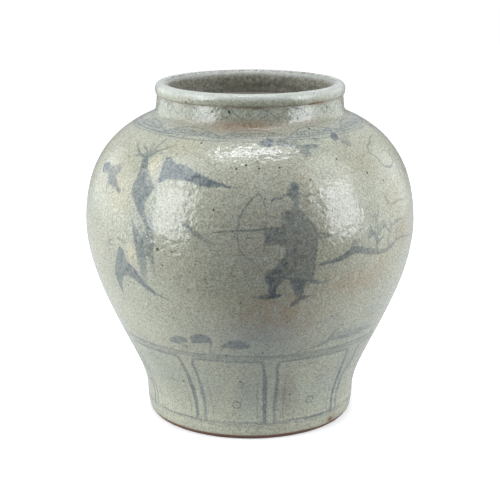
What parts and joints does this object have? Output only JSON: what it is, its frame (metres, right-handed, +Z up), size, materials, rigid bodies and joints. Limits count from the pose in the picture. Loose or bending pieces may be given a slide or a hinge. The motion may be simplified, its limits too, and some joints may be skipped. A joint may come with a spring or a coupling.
{
  "type": "storage jar",
  "caption": "Broad-shouldered stoneware storage jar with a low neck, rolled lip and ring foot, thrown in sections and luted.",
  "frame": {"origin": "centre of the foot, on the surface that the jar stands on", "axes": "+Z up along the axis that the jar was turned on, -Y towards the painting's main scene, +X to its right"},
  "size_m": [0.294, 0.294, 0.3],
  "materials": {
    "celadon_glaze": "grey-green celadon glaze over cobalt painting, speckled, finely pitted and crackled",
    "slip_wash": "thin, dull slip and glaze wash over stoneware",
    "bare_stoneware": "unglazed stoneware, fired orange-brown"
  },
  "bodies": {
    "root": {"lower_body": "celadon_glaze", "base_disc": "bare_stoneware", "base_luting_coil": "slip_wash", "upper_body": "celadon_glaze", "belly_luting_coil": "slip_wash", "neck": "celadon_glaze", "neck_luting_coil": "slip_wash"}
  },
  "joints": []
}
